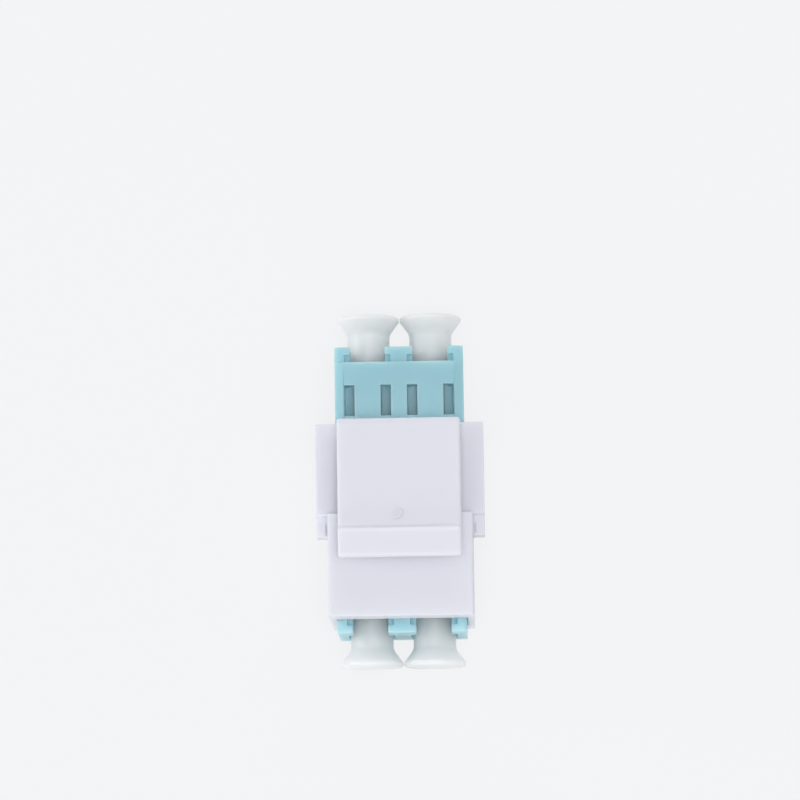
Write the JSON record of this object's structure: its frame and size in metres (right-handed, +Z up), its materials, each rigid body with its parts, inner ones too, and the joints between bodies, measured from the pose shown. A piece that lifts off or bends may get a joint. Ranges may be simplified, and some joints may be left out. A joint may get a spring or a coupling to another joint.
{
  "type": "duplex fibre adapter in a keystone snap-in frame",
  "caption": "Duplex LC fibre coupler snapped into a white keystone frame with a flexing latch arm; trumpet-headed dust caps close its ports.",
  "frame": {"origin": "the point below the adapter's middle on the plane the module rests on with its latch up", "axes": "+Z up through the latch arm, -Y out of the panel through the front ports, +X across the ports to the right seen from the front"},
  "size_m": [0.0166, 0.0354, 0.021],
  "materials": {
    "frame_white": "fine satin moulded plastic, cool white",
    "adapter_aqua": "satin moulded plastic, pale aqua",
    "cap_clear_white": "soft translucent polyethylene, milky white",
    "holder_white": "smooth moulded plastic, white",
    "zirconia": "ground zirconia, slight sheen"
  },
  "bodies": {
    "module": {"keystone_frame": "frame_white", "housing_front": "adapter_aqua", "housing_rear": "adapter_aqua", "sleeve_holder_front_left": "holder_white", "sleeve_holder_front_right": "holder_white", "sleeve_holder_rear_left": "holder_white", "sleeve_holder_rear_right": "holder_white", "ceramic_sleeve_left": "zirconia", "ceramic_sleeve_right": "zirconia"},
    "cap_front_left": {"dust_cap_front_left": "cap_clear_white"},
    "cap_front_right": {"dust_cap_front_right": "cap_clear_white"},
    "cap_rear_left": {"dust_cap_rear_left": "cap_clear_white"},
    "cap_rear_right": {"dust_cap_rear_right": "cap_clear_white"}
  },
  "joints": [
    {"name": "pull_cap_front_left", "type": "slide", "parent": "module", "child": "cap_front_left", "axis": [0, -1, 0], "range_m": [0, 0.04]},
    {"name": "pull_cap_front_right", "type": "slide", "parent": "module", "child": "cap_front_right", "axis": [0, -1, 0], "range_m": [0, 0.04]},
    {"name": "pull_cap_rear_left", "type": "slide", "parent": "module", "child": "cap_rear_left", "axis": [0, 1, 0], "range_m": [0, 0.04]},
    {"name": "pull_cap_rear_right", "type": "slide", "parent": "module", "child": "cap_rear_right", "axis": [0, 1, 0], "range_m": [0, 0.04]}
  ]
}
